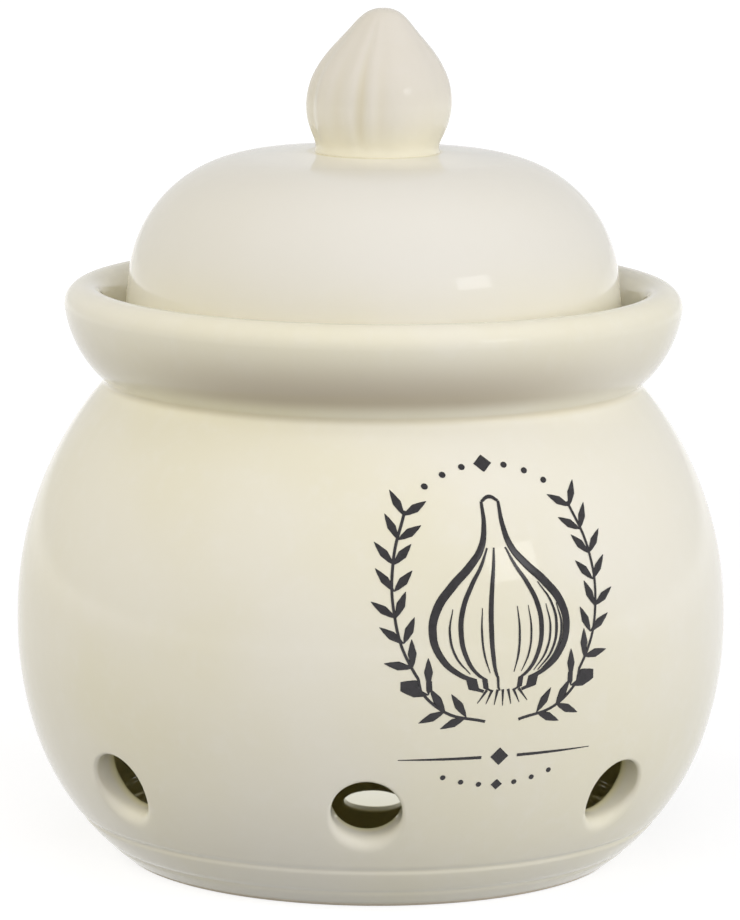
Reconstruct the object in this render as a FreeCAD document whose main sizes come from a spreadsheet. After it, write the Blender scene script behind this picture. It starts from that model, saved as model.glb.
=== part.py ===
import FreeCAD, Part
import math
import os

import Sketcher
from FreeCAD import Placement, Rotation, Vector

# Glazed stoneware garlic keeper: a round pot with vents, a domed lid that drops into its
# collar, and a garlic bulb luted on the lid as its knob. +Z is up, and the origin is on
# the table under the middle of the foot. Lengths are in millimetres, angles in degrees.
SIZES = {
    "belly_radius": 62.5,
    "belly_low_centre": 41.8,
    "belly_band": 1.45,
    "wall": 5.0,
    "floor_thickness": 5.4,
    "floor_curve": 284.0,
    "foot_curve": 45.3,
    "foot_turn": 17.7,
    "foot_ring_width": 5.8,
    "foot_recess": 2.0,
    "mouth_radius": 38.5,
    "neck_reach": 8.2,
    "rim_reach": 15.75,
    "rim_rise": 16.8,
    "lip_radius": 3.6,
    "collar_curve": 20.1,
    "ledge_width": 6.75,
    "ledge_rise": 6.2,
    "vent_radius": 6.0,
    "vent_height": 19.7,
    "vent_lip": 1.2,
    "foot_bevel": 0.4,
    "fine_edge": 0.8,
    "soft_edge": 1.5,
    "lid_gap": 1.0,
    "lid_rise": 34.1,
    "lid_wall": 4.5,
    "lid_draft": 5.7,
    "crown_curve": 239.0,
    "shoulder_curve": 23.1,
    "flange_gap": 1.2,
    "flange_depth": 6.5,
    "flange_wall": 4.0,
    "knob_base_radius": 11.9,
    "knob_radius": 12.95,
    "knob_rise": 25.2,
    "knob_offset": 0.4,
    "knob_lean": 0.85,
    "clove_depth": 0.7,
}

# The vents are cut by hand, so they aren't quite even: the degrees from each to the next,
# anticlockwise from above, starting at the one towards +X. The rest of the turn closes the ring.
VENT_SPACINGS = (44.5, 44.5, 44.5, 44.5, 44.9, 46.7, 46.5)

# Where the bulb is grooved, in degrees round it from its front towards +X. The cloves
# differ in width, as a real bulb's do.
CLOVE_GROOVES = (-72, -38, -14, 4, 44, 82, 118, 155, 190, 222, 256)

# The bulb above its seat: height as a share of the knob's rise, radius as a share of its
# radius, and how much of the clove depth shows there.
BULB_SECTIONS = (
    (0.025, 0.878, 0.05),
    (0.065, 0.848, 0.30),
    (0.187, 0.951, 0.85),
    (0.337, 1.000, 1.00),
    (0.484, 0.959, 0.90),
    (0.603, 0.852, 0.70),
    (0.722, 0.684, 0.45),
    (0.841, 0.471, 0.25),
    (0.905, 0.365, 0.12),
    (0.955, 0.262, 0.04),
    (0.985, 0.158, 0.01),
    (1.000, 0.065, 0.00),
)

UP = Vector(0, 0, 1)
FULL_TURN = 360
# The seam of the pot's turned faces stands this many degrees from +X, between two vents.
SEAM_TURN = 22.5
TOLERANCE = 0.02

document = FreeCAD.newDocument("garlic_keeper")
sheet = document.addObject("Spreadsheet::Sheet", "sizes")
for row, (alias, number) in enumerate(SIZES.items(), start=1):
    sheet.set(f"A{row}", alias)
    sheet.set(f"B{row}", str(number))
    sheet.setAlias(f"B{row}", alias)
document.recompute()


def size(alias):
    return float(getattr(sheet, alias))


def point(across, above):
    """A point of an outline, in a plane that is radius across and height up."""
    return Vector(across, above, 0)


def circles_meet(first, first_radius, second, second_radius, side):
    """Where two circles cross, left (1) or right (-1) of the way from first to second."""
    way = second - first
    apart = way.Length
    way = way / apart
    along = (first_radius ** 2 - second_radius ** 2 + apart ** 2) / (2 * apart)
    off = math.sqrt(first_radius ** 2 - along ** 2)
    return first + way * along + point(-way.y, way.x) * (off * side)


def beyond(start, end, distance):
    """The point at a distance from start on its way to end and past it."""
    way = end - start
    return start + way * (distance / way.Length)


def at_height(centre, radius, above):
    """The outer point of a circle at a height."""
    return point(centre.x + math.sqrt(radius ** 2 - (above - centre.y) ** 2), above)


def at_radius(centre, radius, across):
    """The upper point of a circle at a distance from the axis."""
    return point(across, centre.y + math.sqrt(radius ** 2 - (across - centre.x) ** 2))


def circle_along(start, way, centre, radius):
    """How far from start, along a way of length 1, its line leaves a circle."""
    back = (start - centre).dot(way)
    return math.sqrt(back ** 2 - (start - centre).Length ** 2 + radius ** 2) - back


def new_sketch(body, name, plane_role):
    plane = next(o for o in body.Origin.OriginFeatures if o.Role == plane_role)
    sketch = body.newObject("Sketcher::SketchObject", name)
    sketch.AttachmentSupport = (plane, [""])
    sketch.MapMode = "FlatFace"
    return sketch


class Outline:
    """A chain of named lines and arcs in a sketch, bound to the sizes of the sheet."""

    def __init__(self, sketch):
        self.sketch = sketch
        self.ends = {}

    def line(self, name, start, end):
        index = self.sketch.addGeometry(Part.LineSegment(start, end), False)
        self.ends[name] = (index, 1, 2)

    def arc(self, name, centre, start, end, turn):
        """An arc from start to end, anticlockwise where turn is 1, clockwise where it is -1."""
        first, last = (start, end) if turn > 0 else (end, start)
        circle = Part.Circle(centre, UP, (start - centre).Length)
        angles = [math.atan2(p.y - centre.y, p.x - centre.x) for p in (first, last)]
        index = self.sketch.addGeometry(Part.ArcOfCircle(circle, *angles), False)
        self.ends[name] = (index, 1, 2) if turn > 0 else (index, 2, 1)

    def circle(self, name, centre, radius):
        index = self.sketch.addGeometry(Part.Circle(centre, UP, radius), False)
        self.ends[name] = (index, 3, 3)

    def start(self, name):
        return self.ends[name][0], self.ends[name][1]

    def end(self, name):
        return self.ends[name][0], self.ends[name][2]

    def centre(self, name):
        return self.ends[name][0], 3

    def fix(self, kind, *references):
        return self.sketch.addConstraint(Sketcher.Constraint(kind, *references))

    def join(self, kind, *pairs):
        """Joins the end of each pair's first piece to the start of its second."""
        for first, second in pairs:
            self.fix(kind, *self.end(first), *self.start(second))

    def align(self, kind, *names):
        for name in names:
            self.fix(kind, self.ends[name][0])

    def same_centre(self, *pairs):
        for first, second in pairs:
            self.fix("Coincident", *self.centre(first), *self.centre(second))

    def on_axis(self, *places):
        for place in places:
            self.fix("PointOnObject", *place, -2)

    def bind(self, index, formula):
        name = f"size_{index}"
        self.sketch.renameConstraint(index, name)
        self.sketch.setExpression(f"Constraints.{name}", formula)

    def across(self, place, formula, start=(-1, 1)):
        now = self.sketch.getPoint(*place).x - self.sketch.getPoint(*start).x
        self.bind(self.fix("DistanceX", *start, *place, now), formula)

    def above(self, place, formula, start=(-1, 1)):
        now = self.sketch.getPoint(*place).y - self.sketch.getPoint(*start).y
        self.bind(self.fix("DistanceY", *start, *place, now), formula)

    def lean(self, name, formula):
        """Sets a line's angle from the level."""
        index = self.ends[name][0]
        line = self.sketch.Geometry[index]
        way = line.EndPoint - line.StartPoint
        self.bind(self.fix("Angle", index, math.atan2(way.y, way.x)), formula)

    def round(self, name, formula):
        index = self.ends[name][0]
        now = self.sketch.Geometry[index].Radius
        self.bind(self.fix("Radius", index, now), formula)


def turned(body, name, sketch):
    """A Revolution of a sketch round the body's axis."""
    document.recompute()
    feature = body.newObject("PartDesign::Revolution", name)
    feature.Profile = sketch
    feature.ReferenceAxis = (sketch, ["V_Axis"])
    feature.Angle = FULL_TURN
    document.recompute()
    return feature


def ring_edges(shape, *places):
    """Names of the level circles round the axis that pass through places of the outline."""
    names = []
    for number, edge in enumerate(shape.Edges, start=1):
        if edge.Degenerated or not isinstance(edge.Curve, Part.Circle):
            continue
        curve = edge.Curve
        here = point(curve.Radius, curve.Center.z)
        if any((here - place).Length < TOLERANCE for place in places):
            names.append(f"Edge{number}")
    if len(names) != len(places):
        raise RuntimeError(f"found {len(names)} rings to round, not {len(places)}")
    return names


def finish_edges(body, kind, name, alias, base, names):
    """A Fillet or Chamfer of named edges, with its measure from the sheet."""
    feature = body.newObject(f"PartDesign::{kind}", name)
    feature.Base = (base, names)
    feature.setExpression("Radius" if kind == "Fillet" else "Size", f"sizes.{alias}")
    document.recompute()
    return feature


# The belly is two half balls with a short straight band between them. Below, the foot's
# arc turns the lower ball in to the table.
belly = size("belly_radius")
hollow = belly - size("wall")
low_centre = point(0, size("belly_low_centre"))
high_centre = low_centre + point(0, size("belly_band"))
foot_angle = math.radians(size("foot_turn"))
foot_centre = low_centre + point(math.cos(foot_angle), -math.sin(foot_angle)) * (
    belly - size("foot_curve")
)
foot_edge = at_height(foot_centre, size("foot_curve"), 0)
ring_edge = foot_edge - point(size("foot_ring_width"), 0)
recess_corner = ring_edge + point(0, size("foot_recess"))
underside_curve = size("floor_curve") - size("floor_thickness")
floor_centre = recess_corner - point(
    recess_corner.x, math.sqrt(underside_curve ** 2 - recess_corner.x ** 2)
)
floor_corner = circles_meet(low_centre, hollow, floor_centre, size("floor_curve"), 1)
neck = at_radius(high_centre, belly, size("mouth_radius") + size("neck_reach"))
throat_edge = at_radius(high_centre, hollow, size("mouth_radius"))
mouth_edge = point(size("mouth_radius"), neck.y + size("ledge_rise"))
ledge_corner = mouth_edge + point(size("ledge_width"), 0)
lip_centre = point(
    size("mouth_radius") + size("rim_reach") - size("lip_radius"),
    neck.y + size("rim_rise") - size("lip_radius"),
)

FOOT_CENTRE_ACROSS = "(sizes.belly_radius - sizes.foot_curve) * cos(sizes.foot_turn)"
LEDGE_HEIGHT = (
    "sizes.belly_low_centre + sizes.belly_band + sizes.ledge_rise"
    " + sqrt(sizes.belly_radius ^ 2 - (sizes.mouth_radius + sizes.neck_reach) ^ 2)"
)
VENT_DIP = "asin((sizes.belly_low_centre - sizes.vent_height) / sizes.belly_radius)"


def draw_pot(sketch):
    lip = size("lip_radius")
    collar = size("collar_curve")
    collar_centre = circles_meet(neck, collar, lip_centre, collar - lip, 1)
    lip_join = beyond(collar_centre, lip_centre, collar)
    slope = math.sqrt((lip_centre - ledge_corner).Length ** 2 - lip ** 2)
    slope_top = circles_meet(ledge_corner, slope, lip_centre, lip, 1)
    foot_join = beyond(low_centre, foot_centre, belly)
    floor_top = floor_centre + point(0, size("floor_curve"))
    underside_top = floor_centre + point(0, underside_curve)

    outline = Outline(sketch)
    outline.line("foot", ring_edge, foot_edge)
    outline.arc("foot_turn", foot_centre, foot_edge, foot_join, 1)
    outline.arc("low_ball", low_centre, foot_join, low_centre + point(belly, 0), 1)
    outline.line("band", low_centre + point(belly, 0), high_centre + point(belly, 0))
    outline.arc("high_ball", high_centre, high_centre + point(belly, 0), neck, 1)
    outline.arc("collar", collar_centre, neck, lip_join, 1)
    outline.arc("lip", lip_centre, lip_join, slope_top, 1)
    outline.line("slope", slope_top, ledge_corner)
    outline.line("ledge", ledge_corner, mouth_edge)
    outline.line("throat", mouth_edge, throat_edge)
    outline.arc("high_inside", high_centre, throat_edge, high_centre + point(hollow, 0), -1)
    outline.line("band_inside", high_centre + point(hollow, 0), low_centre + point(hollow, 0))
    outline.arc("low_inside", low_centre, low_centre + point(hollow, 0), floor_corner, -1)
    outline.arc("floor", floor_centre, floor_corner, floor_top, 1)
    outline.line("axis", floor_top, underside_top)
    outline.arc("underside", floor_centre, underside_top, recess_corner, -1)
    outline.line("ring_inside", recess_corner, ring_edge)

    outline.join(
        "Tangent",
        ("foot_turn", "low_ball"),
        ("low_ball", "band"),
        ("band", "high_ball"),
        ("collar", "lip"),
        ("lip", "slope"),
        ("high_inside", "band_inside"),
        ("band_inside", "low_inside"),
    )
    outline.join(
        "Coincident",
        ("foot", "foot_turn"),
        ("high_ball", "collar"),
        ("slope", "ledge"),
        ("ledge", "throat"),
        ("throat", "high_inside"),
        ("low_inside", "floor"),
        ("floor", "axis"),
        ("axis", "underside"),
        ("underside", "ring_inside"),
        ("ring_inside", "foot"),
    )
    outline.align("Vertical", "band", "throat", "band_inside", "axis", "ring_inside")
    outline.align("Horizontal", "foot", "ledge")
    outline.on_axis(*(outline.centre(ball) for ball in ("low_ball", "high_ball", "floor")))
    outline.on_axis(outline.end("axis"))
    outline.same_centre(
        ("low_ball", "low_inside"), ("high_ball", "high_inside"), ("floor", "underside")
    )

    outline.above(outline.end("foot"), "0")
    outline.above(outline.end("underside"), "sizes.foot_recess")
    outline.round("floor", "sizes.floor_curve")
    outline.round("underside", "sizes.floor_curve - sizes.floor_thickness")
    outline.across(outline.end("foot"), "sizes.foot_ring_width", outline.start("foot"))
    outline.across(outline.centre("foot_turn"), FOOT_CENTRE_ACROSS)
    outline.round("foot_turn", "sizes.foot_curve")
    outline.above(outline.centre("low_ball"), "sizes.belly_low_centre")
    outline.round("low_ball", "sizes.belly_radius")
    outline.above(outline.end("band"), "sizes.belly_band", outline.start("band"))
    outline.round("high_inside", "sizes.belly_radius - sizes.wall")
    outline.across(outline.end("ledge"), "sizes.mouth_radius")
    outline.across(outline.start("ledge"), "sizes.mouth_radius + sizes.ledge_width")
    outline.across(outline.end("high_ball"), "sizes.mouth_radius + sizes.neck_reach")
    outline.across(
        outline.centre("lip"), "sizes.mouth_radius + sizes.rim_reach - sizes.lip_radius"
    )
    outline.above(outline.end("ledge"), "sizes.ledge_rise", outline.end("high_ball"))
    outline.above(
        outline.centre("lip"), "sizes.rim_rise - sizes.lip_radius", outline.end("high_ball")
    )
    outline.round("lip", "sizes.lip_radius")
    outline.round("collar", "sizes.collar_curve")


def vent_dip():
    """How far a vent's axis, from the lower ball's centre, dips below the level."""
    return math.asin((low_centre.y - size("vent_height")) / belly)


def cut_vents(body):
    """A ring of round vents, each square to the belly's wall."""
    sketch = new_sketch(body, "vent_circle", "YZ_Plane")
    tilt = Rotation(Vector(1, 0, 0), math.degrees(vent_dip()))
    sketch.AttachmentOffset = Placement(Vector(0, low_centre.y, 0), tilt)
    sketch.setExpression("AttachmentOffset.Base.y", "sizes.belly_low_centre")
    sketch.setExpression("AttachmentOffset.Rotation.Angle", VENT_DIP)
    outline = Outline(sketch)
    outline.circle("vent", point(0, 0), size("vent_radius"))
    outline.fix("Coincident", *outline.centre("vent"), -1, 1)
    outline.round("vent", "sizes.vent_radius")
    vent = body.newObject("PartDesign::Pocket", "vent")
    vent.Profile = sketch
    vent.Reversed = True
    vent.setExpression("Length", "sizes.belly_radius + sizes.wall")
    document.recompute()

    ring = body.newObject("PartDesign::PolarPattern", "vent_ring")
    ring.Originals = [vent]
    ring.Axis = (next(o for o in body.Origin.OriginFeatures if o.Role == "Z_Axis"), [""])
    ring.Mode = "Spacing"
    ring.Occurrences = len(VENT_SPACINGS) + 1
    ring.Spacings = VENT_SPACINGS
    body.Tip = ring
    document.recompute()
    return ring


def vent_mouth_edges(shape):
    """Names of the edges where the vents break through the outside of the belly."""
    dip = vent_dip()
    middle = Vector(0, 0, low_centre.y)
    names = []
    for number, edge in enumerate(shape.Edges, start=1):
        if edge.Degenerated or isinstance(edge.Curve, Part.Line):
            continue
        place = edge.valueAt((edge.FirstParameter + edge.LastParameter) / 2) - middle
        if place.Length < belly - size("wall") / 2:
            continue
        for vent in range(len(VENT_SPACINGS) + 1):
            angle = math.radians(sum(VENT_SPACINGS[:vent]))
            flat = Vector(math.cos(angle), math.sin(angle), 0) * math.cos(dip)
            axis = flat - UP * math.sin(dip)
            if place.dot(axis) > 0 and abs(place.cross(axis).Length - size("vent_radius")) < TOLERANCE:
                names.append(f"Edge{number}")
    if len(names) <= len(VENT_SPACINGS):
        raise RuntimeError(f"found {len(names)} edges of the vents to round")
    return names


def make_pot():
    body = document.addObject("PartDesign::Body", "pot")
    sketch = new_sketch(body, "pot_outline", "XZ_Plane")
    sketch.AttachmentOffset = Placement(Vector(), Rotation(Vector(0, 1, 0), SEAM_TURN))
    draw_pot(sketch)
    tip = turned(body, "pot_turned", sketch)
    rings = ring_edges(tip.Shape, foot_edge, ring_edge)
    tip = finish_edges(body, "Chamfer", "foot_edges", "foot_bevel", tip, rings)
    rings = ring_edges(tip.Shape, neck, ledge_corner, recess_corner)
    tip = finish_edges(body, "Chamfer", "fine_edges", "fine_edge", tip, rings)
    rings = ring_edges(tip.Shape, mouth_edge, throat_edge)
    finish_edges(body, "Chamfer", "soft_edges", "soft_edge", tip, rings)
    tip = cut_vents(body)
    finish_edges(body, "Fillet", "vent_lips", "vent_lip", tip, vent_mouth_edges(tip.Shape))
    return body


# The lid is a shallow crown turned down by a shoulder to sides that lean in a little. A
# flange under it drops in the mouth, and a flat pad on its crown takes the knob.
ledge_height = mouth_edge.y
lid_radius = size("mouth_radius") + size("ledge_width") - size("lid_gap")
pad_radius = size("knob_base_radius") + size("knob_offset")
draft = math.radians(size("lid_draft"))
lean = point(-math.sin(draft), math.cos(draft))
outward = point(math.cos(draft), math.sin(draft))
lid_edge = point(lid_radius, ledge_height)
crown_centre = point(0, ledge_height + size("lid_rise") - size("crown_curve"))
shoulder_foot = lid_edge - outward * size("shoulder_curve")
shoulder_centre = shoulder_foot + lean * (
    circle_along(shoulder_foot, lean, crown_centre, size("crown_curve") - size("shoulder_curve"))
)
pad_edge = at_radius(crown_centre, size("crown_curve"), pad_radius)
flange_outer = size("mouth_radius") - size("flange_gap")
flange_inner = flange_outer - size("flange_wall")
flange_foot = ledge_height - size("flange_depth")
shelf_corner = point(flange_inner, ledge_height + size("lid_wall"))

LID_RADIUS = "sizes.mouth_radius + sizes.ledge_width - sizes.lid_gap"
FLANGE_OUTER = "sizes.mouth_radius - sizes.flange_gap"


def draw_lid(sketch):
    crown = size("crown_curve")
    shoulder = size("shoulder_curve")
    wall = size("lid_wall")
    side_top = shoulder_centre + outward * shoulder
    side_inside_top = shoulder_centre + outward * (shoulder - wall)
    side_inside_foot = side_inside_top - lean * ((side_inside_top.y - shelf_corner.y) / lean.y)
    shoulder_top = beyond(crown_centre, shoulder_centre, crown)
    shoulder_inside_top = beyond(crown_centre, shoulder_centre, crown - wall)
    crown_inside_top = crown_centre + point(0, crown - wall)

    outline = Outline(sketch)
    outline.line("side", lid_edge, side_top)
    outline.arc("shoulder", shoulder_centre, side_top, shoulder_top, 1)
    outline.arc("crown", crown_centre, shoulder_top, pad_edge, 1)
    outline.line("pad", pad_edge, point(0, pad_edge.y))
    outline.line("axis", point(0, pad_edge.y), crown_inside_top)
    outline.arc("crown_inside", crown_centre, crown_inside_top, shoulder_inside_top, -1)
    outline.arc("shoulder_inside", shoulder_centre, shoulder_inside_top, side_inside_top, -1)
    outline.line("side_inside", side_inside_top, side_inside_foot)
    outline.line("shelf", side_inside_foot, shelf_corner)
    outline.line("flange_inside", shelf_corner, point(flange_inner, flange_foot))
    outline.line("flange_foot", point(flange_inner, flange_foot), point(flange_outer, flange_foot))
    outline.line("flange_outside", point(flange_outer, flange_foot), point(flange_outer, ledge_height))
    outline.line("base", point(flange_outer, ledge_height), lid_edge)

    outline.join(
        "Tangent",
        ("side", "shoulder"),
        ("shoulder", "crown"),
        ("crown_inside", "shoulder_inside"),
        ("shoulder_inside", "side_inside"),
    )
    outline.join(
        "Coincident",
        ("crown", "pad"),
        ("pad", "axis"),
        ("axis", "crown_inside"),
        ("side_inside", "shelf"),
        ("shelf", "flange_inside"),
        ("flange_inside", "flange_foot"),
        ("flange_foot", "flange_outside"),
        ("flange_outside", "base"),
        ("base", "side"),
    )
    outline.align("Vertical", "axis", "flange_inside", "flange_outside")
    outline.align("Horizontal", "pad", "shelf", "flange_foot", "base")
    outline.fix("Parallel", outline.ends["side"][0], outline.ends["side_inside"][0])
    outline.on_axis(outline.centre("crown"), outline.end("pad"))
    outline.same_centre(("crown", "crown_inside"), ("shoulder", "shoulder_inside"))

    outline.above(outline.start("side"), LEDGE_HEIGHT)
    outline.across(outline.start("side"), LID_RADIUS)
    outline.lean("side", "90 + sizes.lid_draft")
    outline.round("shoulder", "sizes.shoulder_curve")
    outline.round("crown", "sizes.crown_curve")
    outline.above(
        outline.start("side"), "sizes.crown_curve - sizes.lid_rise", outline.centre("crown")
    )
    outline.across(outline.end("crown"), "sizes.knob_base_radius + sizes.knob_offset")
    outline.round("crown_inside", "sizes.crown_curve - sizes.lid_wall")
    outline.above(outline.end("shelf"), "sizes.lid_wall", outline.start("base"))
    outline.above(outline.start("base"), "sizes.flange_depth", outline.start("flange_outside"))
    outline.across(outline.start("base"), FLANGE_OUTER)
    outline.across(outline.end("flange_foot"), "sizes.flange_wall", outline.start("flange_foot"))


def make_lid():
    body = document.addObject("PartDesign::Body", "lid")
    sketch = new_sketch(body, "lid_outline", "XZ_Plane")
    draw_lid(sketch)
    tip = turned(body, "lid_turned", sketch)
    rings = ring_edges(tip.Shape, lid_edge)
    tip = finish_edges(body, "Chamfer", "base_edge", "fine_edge", tip, rings)
    feet = (point(flange_inner, flange_foot), point(flange_outer, flange_foot))
    rings = ring_edges(tip.Shape, shelf_corner, *feet)
    finish_edges(body, "Chamfer", "flange_edges", "soft_edge", tip, rings)
    return body


def bulb_section(share, radius, depth):
    """A closed wire round the bulb, with an arc for each clove from groove to groove."""
    middle = Vector(
        size("knob_offset") + size("knob_lean") * share, 0, pad_edge.y + size("knob_rise") * share
    )

    def place(turn, reach):
        angle = math.radians(turn - 90)
        return middle + Vector(math.cos(angle), math.sin(angle), 0) * reach

    arcs = []
    groove = radius - depth
    ends = CLOVE_GROOVES[1:] + (CLOVE_GROOVES[0] + FULL_TURN,)
    for start, end in zip(CLOVE_GROOVES, ends):
        arc = Part.Arc(place(start, groove), place((start + end) / 2, radius), place(end, groove))
        arcs.append(arc.toShape())
    return Part.Wire(arcs)


def make_knob():
    """The garlic bulb, lofted through its sections from the pad to its broken stem."""
    sections = [bulb_section(0, size("knob_base_radius"), 0)]
    for share, radius_share, depth_share in BULB_SECTIONS:
        radius = size("knob_radius") * radius_share
        sections.append(bulb_section(share, radius, size("clove_depth") * depth_share))
    knob = document.addObject("Part::Feature", "knob")
    knob.Shape = Part.makeLoft(sections, True, False)
    return knob


def check(thing):
    """Stops the build at an object that failed or has no sound shape."""
    shape = getattr(thing, "Shape", None)
    unsound = shape is not None and (shape.isNull() or not shape.isValid())
    if unsound or "Invalid" in thing.State or "Error" in thing.State:
        raise RuntimeError(f"{thing.Name} didn't build: {thing.State}")


pieces = (make_pot(), make_lid(), make_knob())
for piece in pieces:
    piece.Label = piece.Name
    piece.Placement = Placement()
document.recompute()
for thing in document.Objects:
    check(thing)

os.makedirs("parts", exist_ok=True)
for piece in pieces:
    piece.Shape.exportStep(f"parts/{piece.Label}.step")
    print(piece.Label, round(piece.Shape.Volume), "mm3")
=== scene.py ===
import math

import bmesh
import bpy
from mathutils import Matrix, Vector


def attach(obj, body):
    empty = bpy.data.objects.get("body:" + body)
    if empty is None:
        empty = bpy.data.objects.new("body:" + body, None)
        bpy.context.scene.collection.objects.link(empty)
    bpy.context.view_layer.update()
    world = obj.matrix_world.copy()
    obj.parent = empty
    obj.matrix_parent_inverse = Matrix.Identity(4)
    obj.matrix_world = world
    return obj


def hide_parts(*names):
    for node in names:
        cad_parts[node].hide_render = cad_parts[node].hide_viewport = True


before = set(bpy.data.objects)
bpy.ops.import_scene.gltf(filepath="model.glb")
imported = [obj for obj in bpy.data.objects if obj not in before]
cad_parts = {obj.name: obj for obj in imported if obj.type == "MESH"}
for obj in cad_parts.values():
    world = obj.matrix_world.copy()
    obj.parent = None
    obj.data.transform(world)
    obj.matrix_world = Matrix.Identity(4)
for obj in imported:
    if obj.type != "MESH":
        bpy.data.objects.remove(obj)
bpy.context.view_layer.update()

# A glazed garlic keeper with its lid on. Shapes are drawn in millimetres, with +Z up and the
# origin on the table, and each piece is brought to metres when its mesh is finished.

upright = Vector((0, 0, 1))


# An outline drawn in the plane of radius across and height above, which is turned into a pot.
class Outline:
    def __init__(self, across, above):
        self.bm = bmesh.new()
        self.tip = self.bm.verts.new((across, 0, above))
        self.corners = []

    def line(self, across, above, steps=1):
        start = self.tip.co.copy()
        way = Vector((across, 0, above)) - start
        for step in range(steps):
            grown = bmesh.ops.extrude_vert_indiv(self.bm, verts=[self.tip])
            self.tip = grown["verts"][0]
            self.tip.co = start + way * ((step + 1) / steps)
        return self

    # turns about a centre by degrees, anticlockwise where they are above 0
    def arc(self, centre, degrees, steps):
        turned = bmesh.ops.spin(
            self.bm, geom=[self.tip], cent=(centre[0], 0, centre[1]), axis=(0, -1, 0),
            angle=math.radians(degrees), steps=steps,
        )
        self.tip = next(item for item in turned["geom_last"] if isinstance(item, bmesh.types.BMVert))
        return self

    # marks the corner just drawn, to be rounded by this much
    def corner(self, cut):
        self.corners.append((self.tip, cut))
        return self

    def roundCorners(self, segments=4):
        for vertex, cut in self.corners:
            bmesh.ops.bevel(
                self.bm, geom=[vertex], offset=cut, offset_type="OFFSET", segments=segments,
                profile=0.5, affect="VERTICES", material=-1,
            )
        self.corners = []

    # presses a shallow turned line into the outline at a height, farther out than the recess
    def pressGroove(self, above, depth, width, recess=38):
        near = [
            edge for edge in self.bm.edges
            if any(abs(v.co.z - above) < 2.5 * width and v.co.x > recess for v in edge.verts)
        ]
        bmesh.ops.subdivide_edges(self.bm, edges=near, cuts=7)
        for vertex in self.bm.verts:
            away = (vertex.co.z - above) / width
            if vertex.co.x > recess and abs(away) < 3:
                vertex.co.x -= depth * math.exp(-away * away)


def degreesTo(centre, place):
    return math.degrees(math.atan2(place[1] - centre[1], place[0] - centre[0]))


def away(centre, degrees, distance):
    angle = math.radians(degrees)
    return (centre[0] + math.cos(angle) * distance, centre[1] + math.sin(angle) * distance)


def closeSurface(bm):
    bmesh.ops.remove_doubles(bm, verts=bm.verts[:], dist=0.004)
    bmesh.ops.recalc_face_normals(bm, faces=bm.faces[:])


def makePiece(name, bm, material, body, nodes=()):
    bmesh.ops.scale(bm, vec=(0.001, 0.001, 0.001), verts=bm.verts[:])
    mesh = bpy.data.meshes.new(name)
    bm.to_mesh(mesh)
    bm.free()
    mesh.shade_smooth()
    mesh.materials.append(material)
    piece = bpy.data.objects.new(name, mesh)
    bpy.context.scene.collection.objects.link(piece)
    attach(piece, body)
    if nodes:
        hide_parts(*nodes)
    print(name, len(mesh.polygons), "faces")
    return piece


# An output socket of a material's nodes, on which Python's own operators add Math nodes.
class Wire:
    def __init__(self, tree, socket=None):
        self.tree = tree
        self.socket = socket

    def node(self, kind, settings, inputs, output=0):
        made = self.tree.nodes.new(kind)
        for name, value in settings.items():
            setattr(made, name, value)
        for name, value in inputs.items():
            if isinstance(value, Wire):
                self.tree.links.new(value.socket, made.inputs[name])
            else:
                made.inputs[name].default_value = value
        return Wire(self.tree, made.outputs[output])

    def math(self, operation, first, second=0.0, third=0.0):
        settings = {"operation": operation}
        return self.node("ShaderNodeMath", settings, {0: first, 1: second, 2: third})

    def __add__(self, other):
        return self.math("ADD", self, other)

    def __sub__(self, other):
        return self.math("SUBTRACT", self, other)

    def __rsub__(self, other):
        return self.math("SUBTRACT", other, self)

    def __mul__(self, other):
        return self.math("MULTIPLY", self, other)

    def __truediv__(self, other):
        return self.math("DIVIDE", self, other)

    __radd__ = __add__
    __rmul__ = __mul__

    def smooth(self, low, high):
        settings = {"interpolation_type": "SMOOTHSTEP", "clamp": True}
        inputs = {"Value": self, "From Min": low, "From Max": high}
        return self.node("ShaderNodeMapRange", settings, inputs)

    def noise(self, place, scale, detail=3.0, roughness=0.5):
        inputs = {"Vector": place, "Scale": scale, "Detail": detail, "Roughness": roughness}
        return self.node("ShaderNodeTexNoise", {}, inputs)

    def blend(self, factor, first, second):
        settings = {"data_type": "RGBA"}
        return self.node("ShaderNodeMix", settings, {0: factor, 6: first, 7: second}, 2)


def startMaterial(name):
    material = bpy.data.materials.new(name)
    material.use_nodes = True
    shader = material.node_tree.nodes["Principled BSDF"]
    return material, shader, Wire(material.node_tree)


def setShader(shader, constants, wires):
    for name, value in constants.items():
        shader.inputs[name].default_value = value
    for name, wire in wires.items():
        wire.tree.links.new(wire.socket, shader.inputs[name])


def colour(red, green, blue):
    linear = [((c / 255 + 0.055) / 1.055) ** 2.4 for c in (red, green, blue)]
    return (*linear, 1)


glazeSettings = {
    "cream": colour(238, 234, 216),
    "thin": colour(241, 238, 224),
    "warm": colour(235, 230, 204),
    "pooled": colour(216, 206, 170),
    "inner": colour(250, 242, 184),
    "base": colour(236, 230, 202),
    # the colour of the painted shade under the collar
    "rim": colour(194, 184, 160),
    "lid": colour(228, 225, 214),
    "dull": colour(214, 207, 196),
    "clay": colour(226, 214, 190),
    "wave": 0.00035,
    "roughness": 0.03,
    # the height of the hollow's middle, and how far from it the inside's colour ends
    "hollow": 0.0425,
    "hollowEdge": (0.0577, 0.0600),
}


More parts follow.
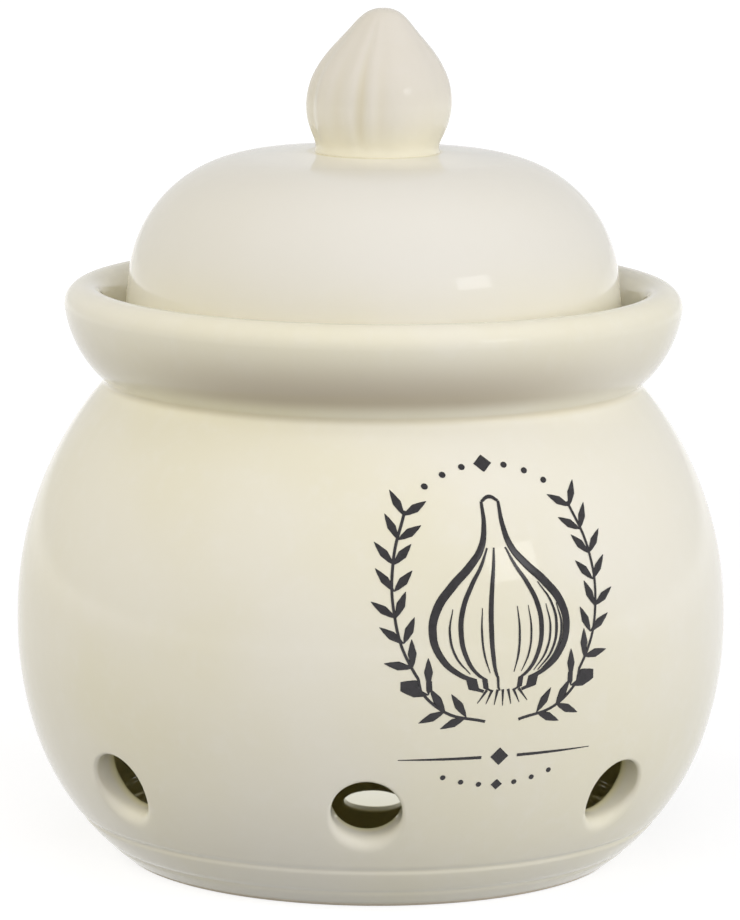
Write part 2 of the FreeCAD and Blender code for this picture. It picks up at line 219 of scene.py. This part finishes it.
# Cream glaze over pale stoneware. It drifts a little in warmth, gathers in the creases and
# leaves the foot ring bare. pools is a list of (radius, height, width) in metres, warmBase the
# heights over which a warmer base ends, and cast a tone, its share and the heights it comes in over.
def makeGlaze(name, pools, footBare=False, warmBase=None, cast=None):
    material, shader, wire = startMaterial(name)
    place = wire.node("ShaderNodeTexCoord", {}, {}, "Object")
    x, y, z = (wire.node("ShaderNodeSeparateXYZ", {}, {"Vector": place}, k) for k in range(3))
    radius = wire.math("SQRT", x * x + y * y)
    drift = wire.noise(place, 22, 2.0)
    fine = wire.noise(place, 260, 3.0, 0.6)
    tone = glazeSettings
    made = wire.blend(drift.smooth(0.35, 0.68), tone["cream"], tone["warm"])
    made = wire.blend(fine.smooth(0.45, 0.8) * 0.25, made, tone["thin"])
    if cast:
        made = wire.blend(z.smooth(*cast[2]) * cast[1], made, tone[cast[0]])
    pooled = None
    for across, above, width in pools:
        away = wire.math("SQRT", (radius - across) * (radius - across) + (z - above) * (z - above))
        pool = 1 - away.smooth(0, width)
        pooled = pool if pooled is None else wire.math("MAXIMUM", pooled, pool)
    if pooled is not None:
        made = wire.blend(pooled * 0.8, made, tone["pooled"])
    if warmBase is not None:
        made = wire.blend((1 - z.smooth(*warmBase)) * 0.6, made, tone["base"])
    groove = wire.node("ShaderNodeAttribute", {"attribute_name": "groove"}, {}, "Fac")
    made = wire.blend(groove.smooth(0.15, 1.0) * 0.6, made, tone["pooled"])
    roughness = drift * 0.02 + tone["roughness"]
    if footBare:
        up = z - tone["hollow"]
        depth = wire.math("SQRT", radius * radius + up * up)
        inner = 1 - depth.smooth(*tone["hollowEdge"])
        inner = inner * (1 - z.smooth(0.080, 0.084)) * z.smooth(0.004, 0.006)
        made = wire.blend(inner, made, tone["inner"])
        # painted shade: darker under the collar, most of all at the front
        under = z.smooth(0.0855, 0.0885) * (1 - z.smooth(0.089, 0.0985))
        under = under * radius.smooth(0.0455, 0.0465)
        under = under * ((y * -1 / radius).smooth(0.55, 1.0) * 0.75 + 0.25)
        made = wire.blend(under, made, tone["rim"])
        bare = (1 - z.smooth(0.0006, 0.0010)) * radius.smooth(0.030, 0.034)
        made = wire.blend(bare, made, tone["clay"])
        roughness = roughness + bare * 0.55
    swell = wire.noise(place, 34, 1.0) + wire.noise(place, 420, 1.0) * 0.02
    bump = wire.node(
        "ShaderNodeBump", {}, {"Strength": 0.35, "Distance": tone["wave"], "Height": swell}
    )
    wires = {"Base Color": made, "Roughness": roughness, "Normal": bump}
    # the glaze lies thickest on the floor inside, which mirrors the vent across from it
    if footBare:
        thick = inner * (1 - z.smooth(0.0095, 0.0110))
        wires["Coat Weight"] = thick
        wires["Metallic"] = thick * (1 - radius.smooth(0.034, 0.046)) * 0.6
    setShader(shader, {"IOR": 1.5, "Coat IOR": 2.0, "Coat Roughness": 0.01}, wires)
    return material


potShape = {
    "radius": 62.5,
    "lowCentre": 41.8,
    "band": 1.45,
    "wall": 5.0,
    "footCurve": 45.3,
    "footTurn": 17.7,
    "floorCurve": 284.0,
    "floorThickness": 4.0,
    "floorRound": 5.0,
    "ringInner": 37.32,
    "ringOuter": 43.12,
    "recess": 2.0,
    "mouth": 38.5,
    "throat": 85.96,
    "ledge": (45.25, 90.99),
    "lip": (50.65, 97.99),
    "lipRadius": 3.6,
    "collar": (34.3, 100.2),
    "collarCurve": 20.1,
    "neck": (46.7, 84.79),
    "grooves": ((8.2, 0.4, 0.55), (3.4, 0.25, 0.45)),
    "ventDip": 20.71,
    # how far each vent slips round the pot from an even ring, in degrees, from +X on
    "ventSlips": (0, -0.5, -1.0, -1.5, -2.0, -2.1, -0.4, 1.1),
    "columns": 24,
    "ventRadius": 6.0,
    # the mouth's rounding at the top and sides, and at the bottom
    "ventLips": (0.75, 2.6),
    "ventInnerLip": 0.8,
    "ventBlock": 9.2,
}


def drawPot(shape):
    radius = shape["radius"]
    inside = radius - shape["wall"]
    low = (0, shape["lowCentre"])
    high = (0, shape["lowCentre"] + shape["band"])
    # the floor is a very flat dome, rounded into the wall
    recessEdge = (shape["ringInner"], shape["recess"])
    under = shape["floorCurve"] - shape["floorThickness"]
    dome = (0, shape["recess"] - math.sqrt(under ** 2 - shape["ringInner"] ** 2))
    soft = shape["floorRound"]
    fromDome, fromLow = shape["floorCurve"] + soft, inside - soft
    above = fromDome ** 2 - fromLow ** 2 + low[1] ** 2 - dome[1] ** 2
    above /= 2 * (low[1] - dome[1])
    corner = (math.sqrt(fromLow ** 2 - (above - low[1]) ** 2), above)
    turn = degreesTo(low, corner)
    throat = (shape["mouth"], shape["throat"])
    lip, collar = shape["lip"], shape["collar"]
    reach = math.dist(shape["ledge"], lip)
    slope = degreesTo(shape["ledge"], lip) + math.degrees(math.asin(shape["lipRadius"] / reach))
    slopeTop = away(shape["ledge"], slope, math.sqrt(reach ** 2 - shape["lipRadius"] ** 2))
    lipTurn = degreesTo(collar, lip)
    foot = away(low, -shape["footTurn"], radius - shape["footCurve"])
    footEnd = degreesTo(foot, (shape["ringOuter"], 0))

    outline = Outline(0, dome[1] + shape["floorCurve"])
    outline.arc(dome, degreesTo(dome, corner) - 90, 14)
    outline.arc(corner, turn - degreesTo(corner, dome), 6)
    outline.arc(low, -turn, 18)
    outline.line(inside, high[1])
    outline.arc(high, degreesTo(high, throat), 26).corner(1.4)
    outline.line(shape["mouth"], shape["ledge"][1], 2).corner(1.4)
    outline.line(*shape["ledge"], 2).corner(0.8)
    outline.line(*slopeTop, 4)
    outline.arc(lip, lipTurn - (slope + 90), 16)
    outline.arc(collar, degreesTo(collar, shape["neck"]) - lipTurn, 10).corner(0.9)
    outline.arc(high, -degreesTo(high, shape["neck"]), 24)
    outline.line(radius, low[1])
    outline.arc(low, -shape["footTurn"], 10)
    outline.arc(foot, footEnd + shape["footTurn"], 15).corner(0.5)
    outline.line(shape["ringInner"], 0, 2).corner(0.6)
    outline.line(*recessEdge, 2).corner(0.8)
    outline.arc(dome, 90 - degreesTo(dome, recessEdge), 6)
    outline.roundCorners()
    for above, depth, width in shape["grooves"]:
        outline.pressGroove(above, depth, width)
    return outline.bm


# How far the outside of the belly is from the middle of its lower ball, in a direction.
def bellyReach(shape, direction):
    turn = math.radians(shape["footTurn"])
    level = math.hypot(direction.x, direction.y)
    if -direction.z < math.sin(turn):
        return shape["radius"]
    off = shape["radius"] - shape["footCurve"]
    along = off * (math.cos(turn) * level - math.sin(turn) * direction.z)
    return along + math.sqrt(along ** 2 - off ** 2 + shape["footCurve"] ** 2)


# Opens the vent in the middle of a sector and rounds its mouth into the wall.
def openVent(bm, shape):
    dip = math.radians(shape["ventDip"])
    middle = Vector((0, 0, shape["lowCentre"]))
    inside = shape["radius"] - shape["wall"]
    side = Vector((0, 1, 0))
    rise = Vector((math.sin(dip), 0, math.cos(dip)))
    axis = side.cross(rise)

    # degrees round the pot and up or down its wall from the vent's middle
    def offAxis(place):
        way = place - middle
        turn = math.degrees(math.atan2(way.y, way.x))
        fall = math.degrees(math.atan2(-way.z, math.hypot(way.x, way.y)))
        return max(abs(turn), abs(fall - shape["ventDip"]))

    near = [face for face in bm.faces if offAxis(face.calc_center_median()) < shape["ventBlock"]]
    bmesh.ops.delete(bm, geom=near, context="FACES")
    rims = [
        edge for edge in bm.edges
        if edge.is_boundary and all(offAxis(v.co) < shape["ventBlock"] + 3 for v in edge.verts)
    ]
    split = shape["radius"] - shape["wall"] / 2
    outerRim = [edge for edge in rims if (edge.verts[0].co - middle).length > split]
    innerRim = [edge for edge in rims if edge not in outerRim]

    # the rings go in from the skin over the mouth's lip, down the tunnel and over the inner lip
    rings = [("outer", math.radians(15 * step)) for step in range(1, 7)]
    rings += [("between", step / 3) for step in range(1, 3)]
    rings += [("inner", math.radians(90 - 22.5 * step)) for step in range(5)]

    def settle(vertex, kind, share):
        way = vertex.co - middle
        way = (way - axis * way.dot(axis)).normalized()
        crisp, soft = shape["ventLips"]
        lip = crisp + (soft - crisp) * max(0, -way.dot(rise)) ** 1.5
        innerLip = shape["ventInnerLip"]
        width = shape["ventRadius"]
        if kind != "between":
            width += (lip if kind == "outer" else innerLip) * (1 - math.sin(share))
        reach = shape["radius"]
        for attempt in range(3):
            angle = math.asin(width / reach)
            direction = axis * math.cos(angle) + way * math.sin(angle)
            outer = bellyReach(shape, direction)
            if kind == "outer":
                reach = outer - lip * (1 - math.cos(share))
            elif kind == "inner":
                reach = inside + innerLip * (1 - math.cos(share))
            else:
                top, bottom = outer - lip, inside + innerLip
                reach = top + (bottom - top) * share
        vertex.co = middle + direction * reach

    seat = Matrix((side, rise, axis)).transposed().to_4x4()
    seat.translation = middle + axis * shape["radius"]
    made = bmesh.ops.create_circle(
        bm, cap_ends=False, segments=len(outerRim), radius=shape["ventRadius"], matrix=seat
    )
    ring = made["verts"]
    for vertex in ring:
        settle(vertex, "outer", 0)
    edges = list({edge for vertex in ring for edge in vertex.link_edges})
    outerRing = edges
    for kind, share in rings:
        grown = bmesh.ops.extrude_edge_only(bm, edges=edges)["geom"]
        ring = [item for item in grown if isinstance(item, bmesh.types.BMVert)]
        for vertex in ring:
            settle(vertex, kind, share)
        edges = [
            item for item in grown
            if isinstance(item, bmesh.types.BMEdge) and all(v in ring for v in item.verts)
        ]
    for rim, loop, skin in ((outerRim, outerRing, True), (innerRim, edges, False)):
        bridged = bmesh.ops.bridge_loops(bm, edges=rim + loop)
        made = bmesh.ops.subdivide_edges(bm, edges=bridged["edges"], cuts=1)
        for item in made["geom_inner"]:
            if isinstance(item, bmesh.types.BMVert):
                direction = (item.co - middle).normalized()
                item.co = middle + direction * (bellyReach(shape, direction) if skin else inside)


def makePot(shape):
    bm = drawPot(shape)
    slips = shape["ventSlips"]
    sector = math.tau / len(slips)
    centre = (0, 0, 0)
    bmesh.ops.rotate(bm, cent=centre, matrix=Matrix.Rotation(-sector / 2, 3, "Z"), verts=bm.verts[:])
    bmesh.ops.spin(
        bm, geom=bm.verts[:] + bm.edges[:], cent=centre, axis=upright,
        angle=sector, steps=shape["columns"],
    )
    bmesh.ops.remove_doubles(bm, verts=bm.verts[:], dist=0.004)
    openVent(bm, shape)
    bmesh.ops.spin(
        bm, geom=bm.verts[:] + bm.edges[:] + bm.faces[:], cent=centre, axis=upright,
        angle=math.tau - sector, steps=len(slips) - 1, use_duplicate=True,
    )
    closeSurface(bm)
    # each vent keeps its slip, and the wall between two vents takes up the difference
    for vertex in bm.verts:
        turn = math.atan2(vertex.co.y, vertex.co.x) / sector
        number = round(turn)
        off = turn - number
        beside = number + (1 if off > 0 else -1)
        share = max(0, abs(off) * 2 - 0.45) / 1.1
        slip = slips[number % len(slips)] * (1 - share) + slips[beside % len(slips)] * share
        vertex.co.rotate(Matrix.Rotation(math.radians(slip), 3, "Z"))
    pools = [(0.0467, 0.0848, 0.0016), (0.0450, 0.0912, 0.0016)]
    pools += [(0.0465, 0.0082, 0.0011), (0.0450, 0.0034, 0.0009)]
    material = makeGlaze("potGlaze", pools, footBare=True)
    return makePiece("garlic_pot", bm, material, "pot", ["pot"])


lidShape = {
    "crown": (0, -113.9),
    "crownCurve": 239.0,
    "shoulder": (20.0, 101.07),
    "shoulderCurve": 23.1,
    "draft": 5.7,
    "edge": (44.25, 90.99),
    "wall": 4.5,
    "flangeOuter": 37.3,
    "flangeInner": 33.3,
    "flangeFoot": 84.49,
    "shelf": 95.49,
    "columns": 192,
}


def makeLid(shape):
    crown, shoulder = shape["crown"], shape["shoulder"]
    top = degreesTo(crown, shoulder)
    sideTop = away(shoulder, shape["draft"], shape["shoulderCurve"])
    inside = away(shoulder, shape["draft"], shape["shoulderCurve"] - shape["wall"])
    lean = math.tan(math.radians(shape["draft"]))
    outline = Outline(0, crown[1] + shape["crownCurve"])
    outline.arc(crown, top - 90, 9)
    outline.arc(shoulder, shape["draft"] - top, 26)
    outline.line(*shape["edge"], 7).corner(0.9)
    outline.line(shape["flangeOuter"], shape["edge"][1], 2).corner(0.5)
    outline.line(shape["flangeOuter"], shape["flangeFoot"], 2).corner(1.2)
    outline.line(shape["flangeInner"], shape["flangeFoot"], 1).corner(1.2)
    outline.line(shape["flangeInner"], shape["shelf"], 3).corner(1.2)
    outline.line(inside[0] + (inside[1] - shape["shelf"]) * lean, shape["shelf"], 2).corner(1.2)
    outline.line(*inside, 4)
    outline.arc(shoulder, top - shape["draft"], 20)
    outline.arc(crown, 90 - top, 8)
    outline.roundCorners()
    bm = outline.bm
    bmesh.ops.spin(
        bm, geom=bm.verts[:] + bm.edges[:], cent=(0, 0, 0), axis=upright,
        angle=math.tau, steps=shape["columns"], use_merge=True,
    )
    closeSurface(bm)
    pools = [(0.0112, 0.1249, 0.0013), (0.0373, 0.0909, 0.0012)]
    material = makeGlaze("lidGlaze", pools, cast=("lid", 0.8, (0.092, 0.112)))
    return makePiece("garlic_lid", bm, material, "lid", ["lid"])


knobShape = {
    "seat": 124.77,
    "radius": 12.95,
    "rise": 25.2,
    "offset": 0.4,
    "lean": 0.85,
    "columns": 120,
    # each fold: degrees from the front towards +X, depth, and half its width in degrees
    "folds": (
        (-68, 0.5, 8), (-37, 0.5, 9), (-16, 0.85, 5.5), (1, 0.5, 7.5), (35, 0.14, 7),
        (58, 0.2, 8), (92, 0.5, 8), (128, 0.6, 8), (160, 0.55, 7), (195, 0.6, 8),
        (228, 0.55, 8), (262, 0.5, 8),
    ),
    # height as a share of the rise, radius as a share of the radius, share of the groove depth
    "rings": (
        (-0.012, 0.868, 0.0), (0.0, 0.850, 0.0), (0.020, 0.841, 0.08), (0.065, 0.838, 0.35),
        (0.120, 0.893, 0.60), (0.187, 0.951, 0.85), (0.262, 0.986, 0.96), (0.337, 1.0, 1.0),
        (0.410, 0.988, 0.97), (0.484, 0.959, 0.90), (0.545, 0.912, 0.80), (0.603, 0.852, 0.70),
        (0.663, 0.775, 0.58), (0.722, 0.684, 0.45), (0.781, 0.578, 0.34), (0.841, 0.471, 0.25),
        (0.875, 0.415, 0.18), (0.905, 0.365, 0.12), (0.932, 0.315, 0.08), (0.955, 0.262, 0.04),
        (0.972, 0.212, 0.02), (0.985, 0.158, 0.01), (0.996, 0.085, 0.0),
    ),
}


# The garlic bulb: rings of cloves stacked from the lid's crown up to the broken stem.
def makeKnob(shape):
    bm = bmesh.new()
    grooveMark = bm.verts.layers.float.new("groove")
    columns = shape["columns"]
    made = bmesh.ops.create_circle(bm, cap_ends=False, segments=columns, radius=shape["radius"])
    order = {vertex: k for k, vertex in enumerate(made["verts"])}
    ring = made["verts"]
    edges = list({edge for vertex in ring for edge in vertex.link_edges})
    for number, (share, width, depth) in enumerate(shape["rings"]):
        if number:
            grown = bmesh.ops.extrude_edge_only(bm, edges=edges)["geom"]
            edges = [item for item in grown if isinstance(item, bmesh.types.BMEdge)]
            newRing = [item for item in grown if isinstance(item, bmesh.types.BMVert)]
            edges = [edge for edge in edges if all(v in newRing for v in edge.verts)]
            below = {}
            for vertex in newRing:
                old = next(e.other_vert(vertex) for e in vertex.link_edges if e.other_vert(vertex) in order)
                below[vertex] = order[old]
            order = below
            ring = newRing
        for vertex in ring:
            turn = 360 * order[vertex] / columns
            fold = 0
            for middle, deep, half in shape["folds"]:
                off = (turn - middle + 180) % 360 - 180
                fold += deep * math.exp(-(off / half) ** 2)
            angle = math.radians(turn - 90)
            reach = shape["radius"] * width - depth * fold
            off = shape["offset"] + shape["lean"] * max(share, 0)
            height = shape["seat"] + shape["rise"] * share
            vertex.co = (off + math.cos(angle) * reach, math.sin(angle) * reach, height)
            vertex[grooveMark] = fold * depth
    for end in (min, max):
        height = end(vertex.co.z for vertex in bm.verts)
        loop = [e for e in bm.edges if e.is_boundary and all(abs(v.co.z - height) < 1e-4 for v in e.verts)]
        bmesh.ops.contextual_create(bm, geom=loop)
    bmesh.ops.poke(bm, faces=[face for face in bm.faces if len(face.verts) > 4])
    closeSurface(bm)
    material = makeGlaze("knobGlaze", [], warmBase=(0.1245, 0.1320), cast=("dull", 0.65, (0.120, 0.142)))
    piece = makePiece("garlic_bulb_knob", bm, material, "lid", ["knob"])
    soften = piece.modifiers.new("soften", "SUBSURF")
    soften.levels = soften.render_levels = 1
    return piece


lidPiece = makeLid(lidShape)
potPiece = makePot(potShape)
knobPiece = makeKnob(knobShape)


# A flat drawing of strokes, which is then laid on the belly like a transfer.
printSettings = {
    "turn": 20.8,
    "above": 50.2,
    "lift": 0.035,
    "ink": colour(26, 24, 26),
}

# Each stroke is a list of points, (across, up, width), in millimetres on the flat sheet.
strokes = []

# The bulb's outline: how wide it is to a side at each height over its base.
bulbSides = (
    (0.0, 3.4), (1.6, 7.6), (4.6, 10.8), (8.6, 12.1), (12.6, 11.2), (16.4, 8.3), (19.6, 5.0),
    (22.6, 2.7), (26.2, 1.7), (30.6, 1.5),
)
bulbBase = -9.0


# follows the bulb's side at a share of its width, between two heights
def followSide(share, low, high, width):
    drawn = [(share * w, bulbBase + h) for h, w in bulbSides if low <= h <= high]
    last = len(drawn) - 1
    swells = [0.35 + 0.65 * math.sin(math.pi * k / last) for k in range(last + 1)]
    return [(x, y, width * swell) for (x, y), swell in zip(drawn, swells)]


for share, low, high, width in (
    (-1, 0, 31, 1.5), (1, 0, 31, 1.5), (-0.6, 0, 23, 0.9), (0.6, 0, 23, 0.9), (-0.16, 0, 23, 0.9),
    (0.84, 1, 17, 0.55), (0.92, 1, 13, 0.5), (0.74, 1, 13, 0.45), (-0.76, 1, 13, 0.45),
    (0.26, 1, 13, 0.45), (0.44, 1, 13, 0.4), (-0.3, 1, 13, 0.4),
):
    strokes.append(followSide(share, low, high, width))
for k in range(-3, 4):
    strokes.append([(0.95 * k, bulbBase + 0.2, 0.5), (1.5 * k, bulbBase - 2.6 + 0.2 * abs(k), 0.15)])
strokes.append([(-1.5, bulbBase + 30.6, 0.5), (0, bulbBase + 31.4, 0.7), (1.5, bulbBase + 30.6, 0.5)])


# a leafy sprig beside the bulb
def sprig(side):
    knots = [(3.0, -14.2), (10.5, -12.0), (16.0, -5.6), (18.4, 3.0), (17.8, 12.0), (14.8, 20.4)]
    stem = [(x * side, y) for x, y in knots]
    drawn = [[(x, y, 0.5) for x, y in stem]]
    for k in range(10):
        share = (k + 0.9) / 10 * (len(stem) - 1.05)
        start = int(share)
        first, second = stem[start], stem[start + 1]
        place = [a + (b - a) * (share - start) for a, b in zip(first, second)]
        heading = degreesTo(first, second)
        for lean in (40, -40):
            leaf = [(0, 0.15), (1.0, 0.9), (2.4, 1.5), (3.8, 0.8), (4.8, 0.1)]
            drawn.append([(*away(place, heading + lean, reach), width) for reach, width in leaf])
    return drawn


# a round dot
def dot(x, y, size):
    reach = [(-0.5, 0.25), (-0.32, 0.8), (0, 1.0), (0.32, 0.8), (0.5, 0.25)]
    return [(x + share * size, y, width * size) for share, width in reach]


strokes += sprig(1) + sprig(-1)
for side in (1, -1):
    strokes.append([(17.5 * side, -20.6, 0.15), (10 * side, -20.6, 0.45), (3.2 * side, -20.6, 0.55)])
    strokes += [dot(x * side, y, 1.15) for x, y in ((3.8, 27.9), (7.4, 26.6), (10.8, 24.6))]
    strokes += [dot(x * side, y, 0.95) for x, y in ((3.2, -25.6), (6.4, -25.0), (9.6, -24.0))]
for y, size in ((-20.6, 3.2), (28.4, 3.2), (-25.8, 2.0)):
    strokes.append([(-size / 2, y, 0.1), (0, y, size), (size / 2, y, 0.1)])


def makePrint(sheet, shape):
    data = bpy.data.curves.new("print", "CURVE")
    data.dimensions = "3D"
    data.bevel_depth = 0.5
    data.bevel_resolution = 2
    data.use_fill_caps = True
    for stroke in strokes:
        spline = data.splines.new("BEZIER")
        spline.bezier_points.add(len(stroke) - 1)
        spline.resolution_u = 10
        for knot, (x, y, width) in zip(spline.bezier_points, stroke):
            knot.co = (x, y, 0)
            knot.radius = width
            knot.handle_left_type = knot.handle_right_type = "AUTO"
    drawing = bpy.data.objects.new("print", data)
    bpy.context.scene.collection.objects.link(drawing)
    bpy.context.view_layer.update()
    mesh = bpy.data.meshes.new_from_object(drawing)
    bpy.data.objects.remove(drawing)
    bm = bmesh.new()
    bm.from_mesh(mesh)
    for vertex in bm.verts:
        x, y, proud = vertex.co
        dip = (shape["lowCentre"] - sheet["above"] - y) / shape["radius"]
        turn = math.radians(sheet["turn"] - 90) + x / (shape["radius"] * math.cos(dip))
        direction = Vector((math.cos(turn) * math.cos(dip), math.sin(turn) * math.cos(dip), -math.sin(dip)))
        middle = shape["lowCentre"] + (shape["band"] if dip < 0 else 0)
        reach = bellyReach(shape, direction) + sheet["lift"] + proud * 0.03
        vertex.co = direction * reach + upright * middle
    bmesh.ops.recalc_face_normals(bm, faces=bm.faces[:])
    material, shader, wire = startMaterial("printInk")
    place = wire.node("ShaderNodeTexCoord", {}, {}, "Object")
    worn = wire.noise(place, 900, 3.0).smooth(0.25, 0.7)
    made = wire.blend(worn, sheet["ink"], colour(40, 37, 40))
    setShader(shader, {"IOR": 1.5}, {"Base Color": made, "Roughness": worn * 0.05 + 0.14})
    return makePiece("bulb_print", bm, material, "pot")


printPiece = makePrint(printSettings, potShape)


# The camera stands a metre off, a little above the knob.
cameraSettings = {
    "place": (0, -0.98573, 0.23837),
    "aim": (0, 0, 0.07005),
    "lens": 221.88,
    "roll": 0.53,
    "shift": -2.1 / 920,
}


def makeCamera(view):
    data = bpy.data.cameras.new("camera")
    data.lens = view["lens"]
    data.sensor_width = 36
    data.shift_x = view["shift"]
    data.clip_end = 20
    camera = bpy.data.objects.new("camera", data)
    place = Vector(view["place"])
    look = (Vector(view["aim"]) - place).to_track_quat("-Z", "Y").to_matrix().to_4x4()
    turn = Matrix.Rotation(math.radians(view["roll"]), 4, "Z")
    camera.matrix_world = Matrix.Translation(place) @ look @ turn
    bpy.context.scene.collection.objects.link(camera)
    bpy.context.scene.camera = camera


# 1 for the rays that see a surface or its mirror image, and 0 for the light it gives off
def seenDirectly(wire):
    rays = ("Is Camera Ray", "Is Glossy Ray", "Is Transmission Ray")
    seen = [wire.node("ShaderNodeLightPath", {}, {}, name) for name in rays]
    return wire.math("MAXIMUM", wire.math("MAXIMUM", seen[0], seen[1]), seen[2])


def makeFloor():
    bm = bmesh.new()
    bmesh.ops.create_grid(bm, x_segments=1, y_segments=1, size=12)
    mesh = bpy.data.meshes.new("floor")
    bm.to_mesh(mesh)
    bm.free()
    floor = bpy.data.objects.new("floor", mesh)
    material = bpy.data.materials.new("paleFloor")
    material.use_nodes = True
    tree = material.node_tree
    wire = Wire(tree)
    shader = tree.nodes["Principled BSDF"]
    shader.inputs["Base Color"].default_value = (0.36, 0.36, 0.36, 1)
    shader.inputs["Roughness"].default_value = 0.9
    shader.inputs["Specular IOR Level"].default_value = 0.0
    place = wire.node("ShaderNodeTexCoord", {}, {}, "Object")
    far = wire.node("ShaderNodeVectorMath", {"operation": "LENGTH"}, {0: place}, "Value").smooth(0.25, 1.1)
    glow = wire.blend(far, (0.78, 0.78, 0.78, 1), (1, 1, 1, 1))
    tree.links.new(glow.socket, shader.inputs["Emission Color"])
    strength = seenDirectly(wire) * 0.92 + 0.08
    tree.links.new(strength.socket, shader.inputs["Emission Strength"])
    mesh.materials.append(material)
    bpy.context.scene.collection.objects.link(floor)


# how far the lamps stand from the place that they face, in metres
lampReach = 2.1
lampAim = Vector((0, 0, 0.06))
lightSettings = [
    # name, degrees from the front towards +X, degrees up, width, height, how brightly it lights
    # a white card that faces it, colour, whether the glaze mirrors it
    ("frontLight", 0, 24, 1.4, 1.4, 0.29, (1.0, 0.985, 1.05), False),
    ("topLight", 0, 84, 1.4, 1.4, 0.18, (1.0, 0.975, 0.97), False),
    ("leftLight", -65, 36, 1.4, 1.4, 0.29, (1.0, 0.97, 0.91), False),
    ("leftSideLight", -100, 14, 1.4, 1.4, 0.17, (1.0, 0.955, 0.83), False),
    ("rightLight", 62, 20, 1.6, 1.4, 0.41, (0.94, 0.94, 1.0), False),
    ("rightSideLight", 100, 12, 1.4, 1.4, 0.14, (1.0, 0.97, 0.89), False),
    ("window", 49, 21, 0.6, 0.36, 0.024, (0.97, 0.98, 1.0), True),
]


def makeLights():
    for name, turn, rise, width, height, bright, tint, mirrored in lightSettings:
        data = bpy.data.lights.new(name, "AREA")
        data.shape = "RECTANGLE"
        data.size = width
        data.size_y = height
        data.energy = bright * 4 * math.pi * lampReach ** 2
        data.color = tint
        lamp = bpy.data.objects.new(name, data)
        turn, rise = math.radians(turn - 90), math.radians(rise)
        way = Vector((math.cos(turn) * math.cos(rise), math.sin(turn) * math.cos(rise), math.sin(rise)))
        lamp.location = way * lampReach + lampAim
        lamp.rotation_euler = (-way).to_track_quat("-Z", "Y").to_euler()
        lamp.visible_glossy = mirrored
        bpy.context.scene.collection.objects.link(lamp)
    world = bpy.data.worlds.new("studio")
    bpy.context.scene.world = world
    world.use_nodes = True
    wire = Wire(world.node_tree)
    background = world.node_tree.nodes["Background"]
    background.inputs["Color"].default_value = (1, 0.995, 0.985, 1)
    strength = seenDirectly(wire) * 0.88 + 0.02
    strength = wire.math("MAXIMUM", strength, wire.node("ShaderNodeLightPath", {}, {}, "Is Camera Ray"))
    world.node_tree.links.new(strength.socket, background.inputs["Strength"])


makeCamera(cameraSettings)
makeFloor()
makeLights()
bpy.context.scene.view_settings.view_transform = "Standard"
print("camera, floor and lights are set")
